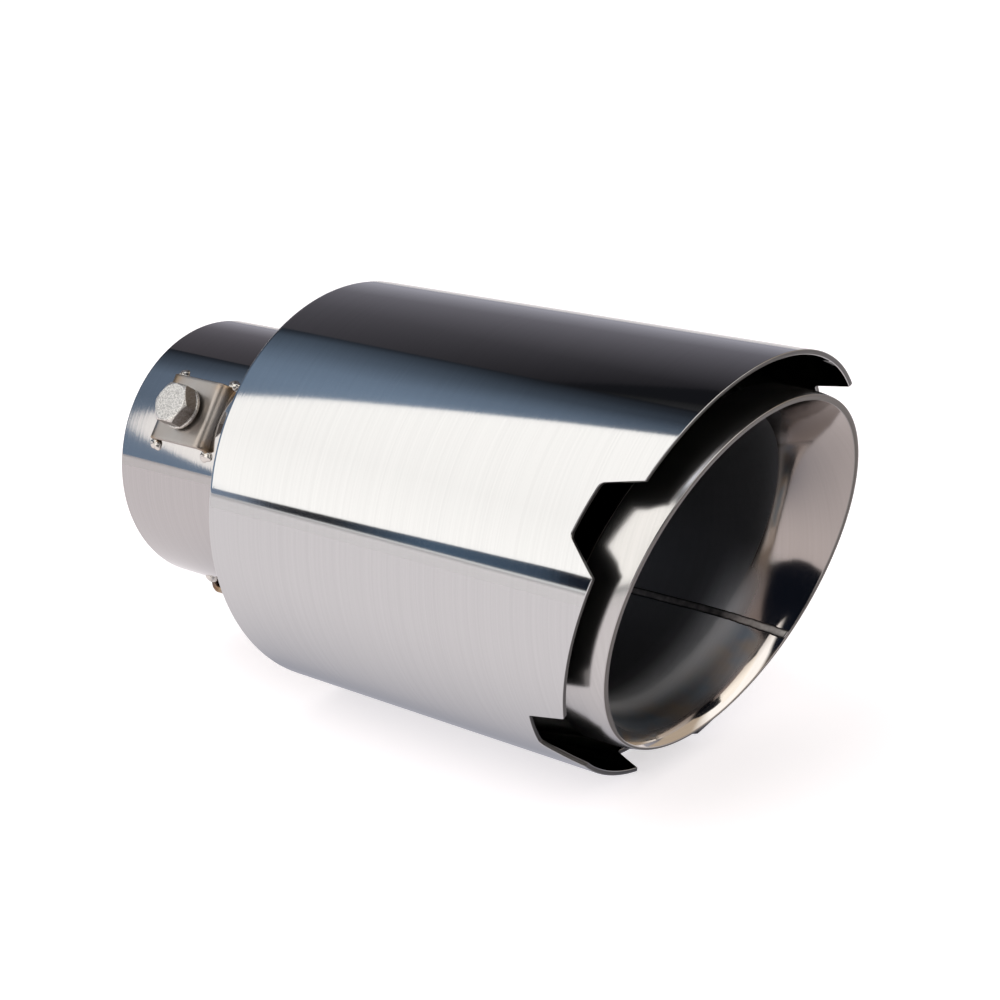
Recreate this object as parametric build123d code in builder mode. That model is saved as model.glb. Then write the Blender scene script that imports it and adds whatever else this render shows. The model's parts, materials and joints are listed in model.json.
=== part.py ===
"""Bolt-on exhaust tip with a double wall.

A stainless pipe slides over the car's tailpipe and widens inside a larger polished shell. At the outlet both
are cut on the same slant: the shell's edge has five trapezoid notches, and the pipe opens into a flared lip
that stands a little proud of it and is turned back outside as a collar. Three saddles welded to the inlet
carry the clamp bolts.

Millimetres. The axis lies along Y, with the inlet mouth's centre at the origin, the inlet open towards +Y and
the outlet towards -Y. +Z is up, and the slant is longest at the top. Stations are distances from the inlet
mouth towards the outlet. Clock angles start at the top and grow clockwise as seen from the outlet.
"""

import os
from math import cos
from math import radians
from math import sin
from math import sqrt
from math import tan

from build123d import *

# Inner pipe: the inlet sleeve, which swells into a wider inner wall past the rear ring
pipe_diameter = 68.0
pipe_wall = 1.5
swell_station = 70.0
swell_length = 25.0
swell_rise = 3.0

# Flare: its depth is square to the slanted cut. Inside, a higher ease opens it more towards the rim.
# The lip lies inside the shell by a gap all round, with its centre a little down the slope,
# and stands proud of the shell's cut along the axis. Its collar runs back outside, square to the cut.
flare_depth = 15.5
flare_sections = 5
flare_ease = 1.25
lip_gap = 5.4
lip_drop = 0.6
lip_proud = 5.4
collar_length = 12.0
collar_sheet = 0.8

# Outer shell, with the slant measured from a square cut
shell_diameter = 101.0
shell_wall = 1.2
shell_rear_station = 52.7
shell_cut_station = 163.1
slant_angle = 18.0

# Notches in the shell's slanted edge, with the edge left whole at the top
notch_angles = (60.0, 125.0, 180.0, 235.0, 300.0)
notch_mouth_width = 22.6
notch_floor_width = 12.3
notch_depth = 9.45
notch_corner_round = 1.5

# Rear ring between the shell and the pipe, set in from the shell's rear edge
ring_sheet = 1.5
ring_recess = 1.0
ring_flange = 8.0

# Clamp saddles and their bolts, placed by hand when they were welded on.
# The saddle's top stands above the pipe by its rise, and its bend is an inside radius.
clamp_angles = (-52.4, -162.0, 74.0)
clamp_station = 22.5
saddle_length = 20.5
saddle_width = 17.5
saddle_sheet = 1.5
saddle_rise = 2.2
saddle_bend = 1.3
boss_wall = 1.3
thread_diameter = 6.0
hex_across_flats = 10.0
hex_height = 4.0
hex_chamfer = 0.5
head_collar_diameter = 11.0
head_collar_height = 1.0
bolt_backoff = 0.8

# Clearances
weld_gap = 0.05
boss_gap = 0.35
thread_gap = 0.05
bore_gap = 0.15

# Sizes that follow from those above
pipe_radius = pipe_diameter / 2
bore_radius = pipe_radius - pipe_wall
wide_radius = pipe_radius + swell_rise
shell_radius = shell_diameter / 2
shell_bore = shell_radius - shell_wall
lip_radius = shell_bore - lip_gap
lip_station = shell_cut_station + lip_proud
slant = radians(slant_angle)
slant_rise = tan(slant)
flare_station = lip_station - flare_depth / cos(slant)
flare_shares = [number / (flare_sections - 1) for number in range(flare_sections)]
saddle_top = pipe_radius + saddle_rise
boss_radius = thread_diameter / 2 + boss_wall
thread_end = bore_radius + bore_gap
cut_margin = 5.0


def slant_plane(station):
    """The plane parallel to the slanted cut that crosses the axis at a station, with x up the slope."""
    return Plane(
        origin=(0, -station, 0),
        x_dir=(0, -sin(slant), cos(slant)),
        z_dir=(0, -cos(slant), -sin(slant)),
    )


def radial_plane(angle, station):
    """The plane on the axis that faces out along a clock angle, with x towards the outlet."""
    clock = radians(angle)
    return Plane(origin=(0, -station, 0), x_dir=(0, -1, 0), z_dir=(sin(clock), 0, cos(clock)))


def profile_plane(angle, station):
    """The plane along the axis at a clock angle, with x towards the outlet and y out from the axis."""
    clock = radians(angle)
    return Plane(origin=(0, -station, 0), x_dir=(0, -1, 0), z_dir=(-cos(clock), 0, sin(clock)))


def notch_plane(angle):
    """The plane that touches the shell where a notch is centred, with x along the slanted edge."""
    clock = radians(angle)
    station = shell_cut_station + shell_radius * slant_rise * cos(clock)
    return Plane(
        origin=(shell_radius * sin(clock), -station, shell_radius * cos(clock)),
        x_dir=(cos(clock), slant_rise * sin(clock), -sin(clock)),
        z_dir=(sin(clock), 0, cos(clock)),
    )


def flared_bar(inset, rim_radius, shares):
    """A solid bar that lies inside the pipe's outer face by an inset: straight, then wider, then flared.

    The flare's sections are parallel to the slanted cut and go from the wide part's ellipse to a round rim.
    They lie at shares of the flare's depth.
    """
    start_radius = wide_radius - inset
    far = flare_station + start_radius * slant_rise + cut_margin
    with BuildPart() as bar:
        with BuildSketch(Plane.YZ):
            with BuildLine():
                Polyline(
                    (0, 0),
                    (0, pipe_radius - inset),
                    (-swell_station, pipe_radius - inset),
                    (-swell_station - swell_length, start_radius),
                    (-far, start_radius),
                    (-far, 0),
                    close=True,
                )
            make_face()
        revolve(axis=Axis.Y)
        split(bisect_by=slant_plane(flare_station), keep=Keep.BOTTOM)
        for share in shares:
            growth = share**flare_ease
            across = start_radius + (rim_radius - start_radius) * growth
            along = start_radius / cos(slant) * (1 - growth) + rim_radius * growth
            with BuildSketch(slant_plane(flare_station + (lip_station - flare_station) * share)):
                with Locations((-lip_drop * growth, 0)):
                    Ellipse(along, across)
        loft()
    return bar.part


os.makedirs("parts", exist_ok=True)

# Inner pipe: the tube is flared at the slanted cut, and its lip is turned back outside as a collar.
# The collar hides the flare's outside, which needs only its two end sections.
with BuildPart() as inner_pipe:
    add(flared_bar(0, lip_radius - collar_sheet / 2, (0, 1)))
    with BuildSketch(slant_plane(lip_station)):
        with Locations((-lip_drop, 0)):
            Circle(lip_radius)
            Circle(lip_radius - collar_sheet, mode=Mode.SUBTRACT)
    extrude(amount=collar_length / cos(slant), dir=(0, 1, 0))
    add(flared_bar(pipe_wall, lip_radius - pipe_wall, flare_shares), mode=Mode.SUBTRACT)
    for angle in clamp_angles:
        with BuildSketch(radial_plane(angle, clamp_station)):
            Circle(boss_radius + boss_gap)
        extrude(amount=pipe_radius + cut_margin, mode=Mode.SUBTRACT)
inner_pipe.part.label = "inner_pipe"
export_step(inner_pipe.part, "parts/inner_pipe.step")

# Outer shell: a sleeve cut on the slant, then notched square to the cut edge
shell_reach = shell_cut_station + shell_radius * slant_rise + cut_margin
notch_taper = (notch_mouth_width - notch_floor_width) / 2 / notch_depth
notch_outer_width = notch_mouth_width + 2 * notch_taper * cut_margin
with BuildPart() as outer_shell:
    with BuildSketch(Plane.XZ.offset(shell_rear_station)):
        Circle(shell_radius)
        Circle(shell_bore, mode=Mode.SUBTRACT)
    extrude(amount=shell_reach - shell_rear_station)
    split(bisect_by=slant_plane(shell_cut_station), keep=Keep.BOTTOM)
    for angle in notch_angles:
        with BuildSketch(notch_plane(angle)) as notch:
            with BuildLine():
                Polyline(
                    (-notch_outer_width / 2, -cut_margin),
                    (notch_outer_width / 2, -cut_margin),
                    (notch_floor_width / 2, notch_depth),
                    (-notch_floor_width / 2, notch_depth),
                    close=True,
                )
            make_face()
            fillet(notch.vertices().group_by(Axis.Y)[-1], radius=notch_corner_round)
        extrude(amount=shell_radius / 2, both=True, mode=Mode.SUBTRACT)
outer_shell.part.label = "outer_shell"
export_step(outer_shell.part, "parts/outer_shell.step")

# Rear ring: a pressed washer, welded to the pipe at its hole and to the shell along its turned-in edge.
# The bend is one flat at 45 degrees, which keeps the sheet's thickness.
ring_outer = shell_bore - weld_gap
ring_inner = pipe_radius + weld_gap
ring_station = shell_rear_station + ring_recess
ring_bend = ring_sheet * (2 - sqrt(2))
with BuildPart() as rear_ring:
    with BuildSketch(Plane.YZ):
        with BuildLine():
            Polyline(
                (-ring_station, ring_inner),
                (-ring_station, ring_outer - ring_bend),
                (-ring_station - ring_bend, ring_outer),
                (-ring_station - ring_flange, ring_outer),
                (-ring_station - ring_flange, ring_outer - ring_sheet),
                (-ring_station - ring_sheet, ring_outer - ring_sheet),
                (-ring_station - ring_sheet, ring_inner),
                close=True,
            )
        make_face()
    revolve(axis=Axis.Y)
rear_ring.part.label = "rear_ring"
export_step(rear_ring.part, "parts/rear_ring.step")

# Clamp saddles: a bent strip that bridges a hole in the inlet, with a tapped boss drawn down into it
saddle_depth = saddle_top - bore_radius + 2 * (saddle_bend + saddle_sheet)
for number, angle in enumerate(clamp_angles, start=1):
    with BuildPart() as saddle:
        with BuildSketch(profile_plane(angle, clamp_station)):
            with Locations((0, saddle_top - saddle_depth / 2)):
                RectangleRounded(saddle_length, saddle_depth, saddle_bend + saddle_sheet)
                RectangleRounded(
                    saddle_length - 2 * saddle_sheet,
                    saddle_depth - 2 * saddle_sheet,
                    saddle_bend,
                    mode=Mode.SUBTRACT,
                )
        extrude(amount=saddle_width / 2, both=True)
        with BuildSketch(Plane.XZ):
            Circle(pipe_radius + weld_gap)
        extrude(amount=clamp_station + saddle_length, mode=Mode.SUBTRACT)
        with BuildSketch(radial_plane(angle, clamp_station).offset(thread_end)):
            Circle(boss_radius)
        extrude(amount=saddle_top - saddle_sheet / 2 - thread_end)
        with BuildSketch(radial_plane(angle, clamp_station)):
            Circle(thread_diameter / 2 + thread_gap)
        extrude(amount=saddle_top + cut_margin, mode=Mode.SUBTRACT)
    saddle.part.label = f"clamp_saddle_{number}"
    export_step(saddle.part, f"parts/clamp_saddle_{number}.step")

# Clamp bolts: a hex head with a round collar, backed off so that the tip clears the bore
head_seat = saddle_top + bolt_backoff
hex_seat = head_seat + head_collar_height
hex_top = hex_seat + hex_height
hex_corner = hex_across_flats / 2 / cos(radians(30))
for number, angle in enumerate(clamp_angles, start=1):
    with BuildPart() as bolt:
        with BuildSketch(radial_plane(angle, clamp_station).offset(hex_seat)):
            RegularPolygon(hex_corner, 6)
        extrude(amount=hex_height)
        with BuildSketch(profile_plane(angle, clamp_station)):
            with BuildLine():
                Polyline(
                    (0, hex_seat),
                    (hex_corner, hex_seat),
                    (hex_corner, hex_top - hex_chamfer),
                    (hex_across_flats / 2 - hex_chamfer / 2, hex_top),
                    (0, hex_top),
                    close=True,
                )
            make_face()
        bolt_axis = Axis((0, -clamp_station, 0), radial_plane(angle, clamp_station).z_dir)
        revolve(axis=bolt_axis, mode=Mode.INTERSECT)
        with BuildSketch(radial_plane(angle, clamp_station).offset(head_seat)):
            Circle(head_collar_diameter / 2)
        extrude(amount=head_collar_height)
        with BuildSketch(radial_plane(angle, clamp_station).offset(thread_end)):
            Circle(thread_diameter / 2)
        extrude(amount=head_seat - thread_end)
    bolt.part.label = f"clamp_bolt_{number}"
    export_step(bolt.part, f"parts/clamp_bolt_{number}.step")
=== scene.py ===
"""Looks of a bolt-on, double-wall exhaust tip in polished stainless steel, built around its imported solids.

Shapes are worked out in millimetres and go into the meshes in metres. The axis lies along Y. A station is
the distance from the inlet mouth towards the outlet (-Y), and a clock angle starts at the top (+Z) and grows
towards +X.
"""

import json

import bpy
import numpy as np
from mathutils import Matrix
from mathutils import Vector


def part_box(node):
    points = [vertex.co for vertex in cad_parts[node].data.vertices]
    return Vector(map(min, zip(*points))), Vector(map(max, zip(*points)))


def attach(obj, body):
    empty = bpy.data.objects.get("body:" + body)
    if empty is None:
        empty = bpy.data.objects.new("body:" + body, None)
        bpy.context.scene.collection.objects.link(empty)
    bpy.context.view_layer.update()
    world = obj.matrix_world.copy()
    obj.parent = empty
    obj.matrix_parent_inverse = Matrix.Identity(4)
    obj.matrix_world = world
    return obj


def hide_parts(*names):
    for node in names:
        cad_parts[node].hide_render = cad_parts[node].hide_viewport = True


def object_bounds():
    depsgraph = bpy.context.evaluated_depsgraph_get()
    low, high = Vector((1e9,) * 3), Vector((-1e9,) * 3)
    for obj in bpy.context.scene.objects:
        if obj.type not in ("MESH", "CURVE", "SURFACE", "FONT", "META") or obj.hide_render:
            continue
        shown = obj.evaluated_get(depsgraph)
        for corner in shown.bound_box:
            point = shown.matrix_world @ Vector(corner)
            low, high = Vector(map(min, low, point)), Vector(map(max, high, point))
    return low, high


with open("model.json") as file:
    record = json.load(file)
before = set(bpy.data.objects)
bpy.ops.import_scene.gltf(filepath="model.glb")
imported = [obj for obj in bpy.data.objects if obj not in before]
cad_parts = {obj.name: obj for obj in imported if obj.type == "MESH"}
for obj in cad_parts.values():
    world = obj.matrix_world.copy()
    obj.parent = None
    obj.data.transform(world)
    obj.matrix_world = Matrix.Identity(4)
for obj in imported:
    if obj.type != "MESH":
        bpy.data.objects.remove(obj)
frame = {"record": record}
cad_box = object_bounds()

MM = 0.001


def frame_size(metres):
    """A length of the frame in millimetres, to the nearest tenth."""
    return round(metres / MM, 1)


# Pipe and flare, as in the solids
bore_radius = frame["record"]["mounts"][0]["dims"]["r_mm"]
pipe_wall = 1.5
pipe_radius = bore_radius + pipe_wall
swell_station = 70.0
swell_length = 25.0
swell_end = swell_station + swell_length
swell_rise = 3.0
wide_radius = pipe_radius + swell_rise
wide_bore = wide_radius - pipe_wall
slant = np.radians(18.0)
slant_rise = np.tan(slant)
lip_radius = frame_size(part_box("inner_pipe")[1].x)
lip_station = 168.5
lip_drop = 0.6
flare_depth = 15.5
flare_ease = 1.25
flare_station = lip_station - flare_depth / np.cos(slant)
collar_length = 12.0
collar_sheet = 0.8

# The pipe's edges: small rounds, the gap in the fold, the lip's roll with how far it opens at the top and
# low down, and the crown of the collar behind it
mouth_round = 0.4
lip_round = 0.3
fold_gap = 0.3
lip_roll = 3.5
lip_open = (0.12, 1.0)
crown_height = 0.6
crown_length = 4.5

# Shell and its notches
shell_radius = frame_size(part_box("outer_shell")[1].x)
shell_rear = frame_size(-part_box("outer_shell")[1].y)
shell_wall = 1.2
shell_bore = shell_radius - shell_wall
shell_cut = 163.1
shell_rear_round = 0.5
shell_edge_round = 0.2
notch_centres = np.radians([60.0, 125.0, 180.0, 235.0, 300.0])
notch_mouth = 22.6
notch_floor = 12.3
notch_depth = 9.45
notch_round = 1.5

# Rear ring
ring_sheet = 1.5
ring_front = frame_size(-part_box("rear_ring")[0].y)
ring_rear = frame_size(-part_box("rear_ring")[1].y)
weld_gap = 0.05

# Clamp saddles and their tapped bosses
clamp_clocks = np.radians([-52.4, -162.0, 74.0])
clamp_station = 22.5
saddle_length = 20.5
saddle_width = 17.5
saddle_sheet = 1.5
saddle_top = pipe_radius + 2.2
saddle_bend = 1.3
saddle_edge_round = 0.25
boss_radius = 4.3
boss_gap = 0.35
boss_chamfer = 0.2
tap_radius = 3.05

# Clamp bolts
thread_radius = 3.0
thread_pitch = 1.0
thread_depth = 0.55
thread_run_in = 0.6
thread_end = bore_radius + 0.15
head_seat = saddle_top + 0.8
head_collar_radius = 5.5
head_collar_height = 1.0
head_under_round = 0.2
head_over_round = 0.35
hex_flat = 5.0
hex_height = 4.0
hex_chamfer = 0.5

# Welds: the seam inside the pipe, the saddles' tacks, how far their heat shows and how hot each of four ran
seam_clock = np.radians(133.0)
seam_start = 1.0
seam_end_share = 0.985
seam_width = 2.0
seam_height = 0.14
seam_depth = 0.3
tack_width = 3.0
tack_height = 1.1
heat_reach = 5.5
tack_heat = (0.6, 0.5, 1.0, 0.7)

# The share of the flare, from its start, up to which it is as dull as the bore, up to which the seam's heat
# tints it and up to which forming left it satin, with a painted sheen in a lighter colour, the shares over
# which these fade, and the reach of the satin and its sheen into the bore
dull_share = 0.03
dull_fade = 0.025
tint_share = 0.95
tint_fade = 0.35
satin_sheen_share = 0.5
satin_sheen_fade = 0.45
satin_sheen_reach = 11.0

# Where on the lower side the lip opens and carries a painted highlight, the tint lies and the satin, with
# its
# painted sheen, lies: the clock angle, either way, at which each begins, and the drop, as a share of the
# radius, over which it comes in
lip_opening_and_highlight_side = (seam_clock - 0.2, 0.25)
tint_side = (seam_clock - 0.1, 0.15)
satin_sheen_side = (np.radians(100.0), 0.5)


# Meshes

def on_tube(radius, clock, station):
    """Points of a tube about the axis: x = r sin(clock), y = -station, z = r cos(clock)."""
    radius, clock, station = np.broadcast_arrays(radius, clock, station)
    return np.stack([radius * np.sin(clock), -station, radius * np.cos(clock)], axis=-1)


def on_slant(station, up, side):
    """Points of a plane parallel to the slanted cut: up runs up its slope, side runs towards +X."""
    station, up, side = np.broadcast_arrays(station, up, side)
    return np.stack([side, -station - np.sin(slant) * up, np.cos(slant) * up], axis=-1)


def pipe_bend(station):
    """How far the pipe has swelled at a station: none at the inlet, then a cone up to the wide part."""
    return swell_rise * np.clip((station - swell_station) / swell_length, 0, 1)


def on_flare(start_radius, rim_radius, clock, share, ease=flare_ease):
    """Points of a flare: ellipses in slanted planes that grow from the tube's section to a round rim.

    The growth is share ** ease, so the flare opens more towards the rim.
    """
    growth = share ** ease
    across = start_radius + (rim_radius - start_radius) * growth
    along = start_radius / np.cos(slant) * (1 - growth) + rim_radius * growth
    station = flare_station + (lip_station - flare_station) * share
    return on_slant(station, along * np.cos(clock) - lip_drop * growth, across * np.sin(clock))


def ease_in(value):
    """A smooth step: 0 up to 0, 1 from 1, and 3 v^2 - 2 v^3 between."""
    value = np.clip(value, 0, 1)
    return value * value * (3 - 2 * value)


def low_side(clock, start, drop):
    """1 low down and 0 higher up: a smooth step of the height, from a clock angle on and over a drop."""
    return ease_in((np.cos(start) - np.cos(clock)) / drop)


def slope(points, axis):
    """Tangent along one way of a closed grid, by central differences that allow for unequal steps."""
    ahead = np.roll(points, -1, axis) - points
    behind = points - np.roll(points, 1, axis)
    far = np.linalg.norm(ahead, axis=-1, keepdims=True)
    near = np.linalg.norm(behind, axis=-1, keepdims=True)
    return (ahead * near / far + behind * far / near) / (near + far)


def grid_normals(grid):
    """Unit normals of a closed grid, from the tangents along its columns and its rows."""
    normals = np.cross(slope(grid, 1), slope(grid, 0))
    return normals / np.linalg.norm(normals, axis=-1, keepdims=True)


def ring_quads(rows, columns, closed=True):
    """Quads of a grid whose columns close on themselves, as vertex numbers; its rows may close as well."""
    row, column = np.meshgrid(np.arange(rows if closed else rows - 1), np.arange(columns), indexing="ij")
    here, below = row * columns, (row + 1) % rows * columns
    right = (column + 1) % columns
    return np.stack([here + column, here + right, below + right, below + column], axis=-1)


def cap_quads(loop):
    """Quads that close a loop of vertex numbers, each joining a stretch to the one opposite it."""
    half = len(loop) // 2
    near, far = loop[:half], loop[::-1][:half]
    return np.stack([near[:-1], far[:-1], far[1:], near[1:]], axis=-1)


def capped_quads(rows, columns):
    """Quads of a grid whose columns close on themselves and whose first and last rows are capped."""
    numbers = np.arange(rows * columns).reshape(rows, columns)
    sides = ring_quads(rows, columns, closed=False).reshape(-1, 4)
    return np.vstack([sides, cap_quads(numbers[0])[:, ::-1], cap_quads(numbers[-1])])


def loop_quads(loops):
    """Quads between successive closed loops of vertex numbers."""
    ahead = np.roll(loops, -1, axis=1)
    return np.stack([loops[:-1], ahead[:-1], ahead[1:], loops[1:]], axis=-1).reshape(-1, 4)


def box_loop(first_row, last_row, first_column, last_column):
    """Rows and columns once round a box of grid corners, in order, with no corner twice."""
    across = np.arange(first_column, last_column)
    down = np.arange(first_row, last_row)
    rows = [np.full(len(across), first_row), down, np.full(len(across), last_row), down[::-1] + 1]
    columns = [across, np.full(len(down), last_column), across[::-1] + 1, np.full(len(down), first_column)]
    return np.concatenate(rows), np.concatenate(columns)


def closing_rings(out, side, radius, steps):
    """Factors that shrink a loop of points onto a circle about its middle, in equal steps for each point."""
    return 1 + np.linspace(0, 1, steps + 1)[1:, None] * (radius / np.hypot(out, side) - 1)


def volume(points, quads):
    """Signed volume inside closed quads, as the sum of the pyramids that they make with the origin."""
    a, b, c, d = (points[quads[:, k]] for k in range(4))
    return np.sum(a * np.cross(b, c)) + np.sum(a * np.cross(c, d))


def make_piece(name, points, quads, finish, normals=None, attributes=None, sharp=None):
    """A closed mesh from points in millimetres, turned to face outwards, riding on the only body."""
    if volume(points, quads) < 0:
        quads = quads[:, ::-1]
    mesh = bpy.data.meshes.new(name)
    mesh.vertices.add(len(points))
    mesh.vertices.foreach_set("co", (points * MM).astype(np.float32).ravel())
    mesh.loops.add(quads.size)
    mesh.loops.foreach_set("vertex_index", quads.astype(np.int32).ravel())
    mesh.polygons.add(len(quads))
    mesh.polygons.foreach_set("loop_start", np.arange(0, quads.size, 4, dtype=np.int32))
    mesh.update(calc_edges=True)
    mesh.shade_smooth()
    if sharp is not None:
        mesh.set_sharp_from_angle(angle=np.radians(sharp))
    if normals is not None:
        mesh.normals_split_custom_set_from_vertices(normals.tolist())
    for label, values in (attributes or {}).items():
        layer = mesh.attributes.new(label, "FLOAT", "POINT")
        layer.data.foreach_set("value", values.astype(np.float32).ravel())
    mesh.materials.append(finish)
    piece = bpy.data.objects.new(name, mesh)
    bpy.context.scene.collection.objects.link(piece)
    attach(piece, "root")
    return piece


# Outer shell

def notch_edge(centre, radius):
    """Clock angles and stations along one notch's edge, on the shell's outer or inner wall.

    The notch is a trapezoid with a rounded floor in the plane that touches the shell, with u along the
    slanted edge and v into the shell. It is cut straight through, so a wall at some radius has
    clock = centre + asin(t / radius), where t is the point's distance from the notch's middle plane.
    """
    taper = (notch_mouth - notch_floor) / 2 / notch_depth
    wall_turn = np.arctan(taper)
    flat_end = notch_floor / 2 - notch_round * np.tan((np.pi / 2 - wall_turn) / 2)
    bend = np.linspace(np.pi / 2, wall_turn, 7)
    bend_u = flat_end + notch_round * np.cos(bend)
    bend_v = notch_depth - notch_round + notch_round * np.sin(bend)
    # each wall runs on past the cut, finely enough to find where it meets it
    past_cut = -4.0
    wall_v = np.linspace(bend_v[-1], past_cut, 400)[1:]
    wall_u = bend_u[-1] + taper * (bend_v[-1] - wall_v)
    flat_u = np.linspace(-flat_end, flat_end, 14)[1:-1]
    lean = slant_rise * np.sin(centre)
    stretch = np.hypot(1, lean)
    middle = shell_cut + shell_radius * slant_rise * np.cos(centre)

    def place(u, v):
        """Clock angle and station of a point of the notch's plane."""
        return centre + np.arcsin((u - lean * v) / stretch / radius), middle - (lean * u + v) / stretch

    def side(sign):
        """One corner and its wall, ending where the wall meets the slanted cut."""
        clock, station = place(sign * np.concatenate([bend_u, wall_u]), np.concatenate([bend_v, wall_v]))
        past = station - (shell_cut + radius * slant_rise * np.cos(clock))
        steps = np.arange(len(clock))
        end = np.interp(0.0, past[len(bend):], steps[len(bend):])
        kept = np.concatenate([steps[:len(bend)], np.linspace(len(bend) - 1, end, 16)[1:]])
        return np.interp(kept, steps, clock), np.interp(kept, steps, station)

    left_clock, left_station = side(-1)
    right_clock, right_station = side(1)
    flat_clock, flat_station = place(flat_u, notch_depth)
    clock = np.concatenate([left_clock[::-1], flat_clock, right_clock])
    station = np.concatenate([left_station[::-1], flat_station, right_station])
    return clock, station


def shell_edge(radius):
    """Clock angles and stations of the whole outlet edge at a radius: slanted stretches between notches."""
    notches = [notch_edge(centre, radius) for centre in notch_centres]
    starts = [0.0] + [clock[-1] for clock, _ in notches]
    ends = [clock[0] for clock, _ in notches] + [2 * np.pi]
    clocks, stations = [], []
    for number, (start, end) in enumerate(zip(starts, ends)):
        clock = np.linspace(start, end, 57)[(0 if number == 0 else 1):-1]
        clocks.append(clock)
        stations.append(shell_cut + radius * slant_rise * np.cos(clock))
        if number < len(notches):
            clocks.append(notches[number][0])
            stations.append(notches[number][1])
    return np.concatenate(clocks), np.concatenate(stations)


def make_shell(finish):
    """The shell's skin: rear round, outer wall, rounded outlet edge, inner wall and rear face.

    The walls' normals point straight out from the axis and straight in, so that the mirror stays even. Rows
    crowd towards both ends of each wall, which keeps it flat up to its rounds.
    """
    outer_clock, outer_edge = shell_edge(shell_radius)
    inner_clock, inner_edge = shell_edge(shell_bore)
    rows = []
    for angle in np.linspace(0, np.pi / 2, 6):
        radius = shell_radius - shell_rear_round * (1 - np.sin(angle))
        rows.append(on_tube(radius, outer_clock, shell_rear + shell_rear_round * (1 - np.cos(angle))))
    outer_shares = np.concatenate([[0.004], np.linspace(0.02, 0.98, 22), [0.995, 1.0]])
    outer_rows = slice(len(rows), len(rows) + len(outer_shares))
    first = shell_rear + shell_rear_round
    last = outer_edge - shell_edge_round
    for share in outer_shares:
        rows.append(on_tube(shell_radius, outer_clock, first + share * (last - first)))
    # the edge: shares of the way from the outer wall to the inner, and how far each stands back, in rounds
    bevel = shell_edge_round / shell_wall
    corner = 1 - np.sqrt(0.5)
    edge_shares = np.array([corner * bevel, bevel, 0.5, 1 - bevel, 1 - corner * bevel])
    edge_backs = np.array([corner, 0.0, 0.0, 0.0, corner])
    for share, back in zip(edge_shares, edge_backs):
        outer = on_tube(shell_radius, outer_clock, outer_edge - back * shell_edge_round)
        inner = on_tube(shell_bore, inner_clock, inner_edge - back * shell_edge_round)
        rows.append(outer * (1 - share) + inner * share)
    inner_shares = np.concatenate([[1.0, 0.995], np.linspace(0.98, 0.02, 16), [0.004, 0.0]])
    inner_rows = slice(len(rows), len(rows) + len(inner_shares))
    first = shell_rear + shell_edge_round
    last = inner_edge - shell_edge_round
    for share in inner_shares:
        rows.append(on_tube(shell_bore, inner_clock, first + share * (last - first)))
    for angle in np.linspace(0, np.pi / 2, 4)[1:]:
        radius = shell_bore + shell_edge_round * (1 - np.cos(angle))
        rows.append(on_tube(radius, inner_clock, shell_rear + shell_edge_round * (1 - np.sin(angle))))
    grid = np.stack(rows)
    points = grid.reshape(-1, 3)
    quads = ring_quads(*grid.shape[:2]).reshape(-1, 4)
    normals = grid_normals(grid) * np.sign(volume(points, quads))
    normals[outer_rows] = on_tube(1.0, outer_clock, 0.0)
    normals[inner_rows] = -on_tube(1.0, inner_clock, 0.0)
    edge = np.zeros(grid.shape[:2])
    edge[outer_rows.stop + 1:inner_rows.start - 1] = 1.0
    piece = make_piece(
        "notched_shell", points, quads, finish, normals.reshape(-1, 3), {"edge": edge}
    )
    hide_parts("outer_shell")


# Inner pipe: the stations and shares of its rows, and the stretch of grid that each clamp hole takes

pipe_columns = 360
hole_columns = 22
hole_half = 6.0
hole_rows = np.linspace(clamp_station - hole_half, clamp_station + hole_half, 13)
inlet_rows = np.linspace(mouth_round + 0.2, hole_rows[0] - 4.0, 3)
sleeve_rows = np.linspace(hole_rows[-1] + 6.0, swell_station - 0.6, 6)
straight_rows = np.concatenate([inlet_rows, hole_rows, sleeve_rows])
swell_rows = np.linspace(swell_station, swell_end, 9)
leaning_shares = np.linspace(0, 1, 14)[1:-1]
flare_shares = np.linspace(0, 1, 56) ** 1.3 * (1 - lip_roll / flare_depth)
roll_bends = np.linspace(1, 0, 12)[:-1]
edge_turns = np.linspace(0, np.pi / 2, 5)


def mouth_rows(clock, wall_radius, sign):
    """Quarter round at the mouth, from the end face to a wall; sign is 1 outside and -1 inside."""
    radii = wall_radius - sign * mouth_round * (1 - np.sin(edge_turns))
    stations = mouth_round * (1 - np.cos(edge_turns))
    return [on_tube(radius, clock, station) for radius, station in zip(radii, stations)]


def wall_rows(clock, inset):
    """Rows of a wall, inside the outer face by an inset: square to the axis, then leaning to the flare."""
    end = flare_station + (wide_radius - inset) * slant_rise * np.cos(clock)
    leaning = [swell_end + share * (end - swell_end) for share in leaning_shares]
    stations = [*straight_rows, *swell_rows, *leaning]
    return [on_tube(pipe_radius + pipe_bend(station) - inset, clock, station) for station in stations]


def cut_rows(clock, radii, depths):
    """Rows in planes parallel to the cut: rings of some radius at a depth square to it."""
    radii, depths = np.broadcast_arrays(radii, depths)
    stations = lip_station - depths / np.cos(slant)
    up, side = np.cos(clock), np.sin(clock)
    rings = zip(radii, stations)
    return [on_slant(station, radius * up - lip_drop, radius * side) for radius, station in rings]


def flare_row(clock, share):
    """One row of the flare's inside."""
    return on_flare(wide_bore, lip_radius - pipe_wall, clock, share)


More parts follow.
